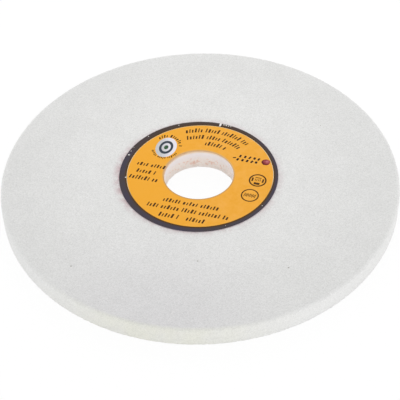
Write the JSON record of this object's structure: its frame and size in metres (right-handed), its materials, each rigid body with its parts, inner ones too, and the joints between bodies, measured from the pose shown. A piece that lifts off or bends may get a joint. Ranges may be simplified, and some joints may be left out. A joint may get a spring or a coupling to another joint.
{
  "type": "bench grinding wheel",
  "caption": "Straight bonded-abrasive wheel with rounded rim arrises, a round bore and a printed paper blotter on its front face.",
  "frame": {"origin": "centre of the bore at the bare back face, which the wheel lies on", "axes": "+Z along the bore axis, out of the printed front face; +X and +Y across the face, +Y away from the viewer of the picture"},
  "size_m": [0.18, 0.18, 0.0104],
  "materials": {
    "white_alumina": "rough, fine grained",
    "blotter_paper": "matte",
    "dark_ink": "satin print",
    "orange_ink": "satin print"
  },
  "bodies": {
    "root": {"abrasive_wheel": "white_alumina", "paper_blotter": "blotter_paper", "border_print": "dark_ink", "field_print": "orange_ink"}
  },
  "joints": []
}
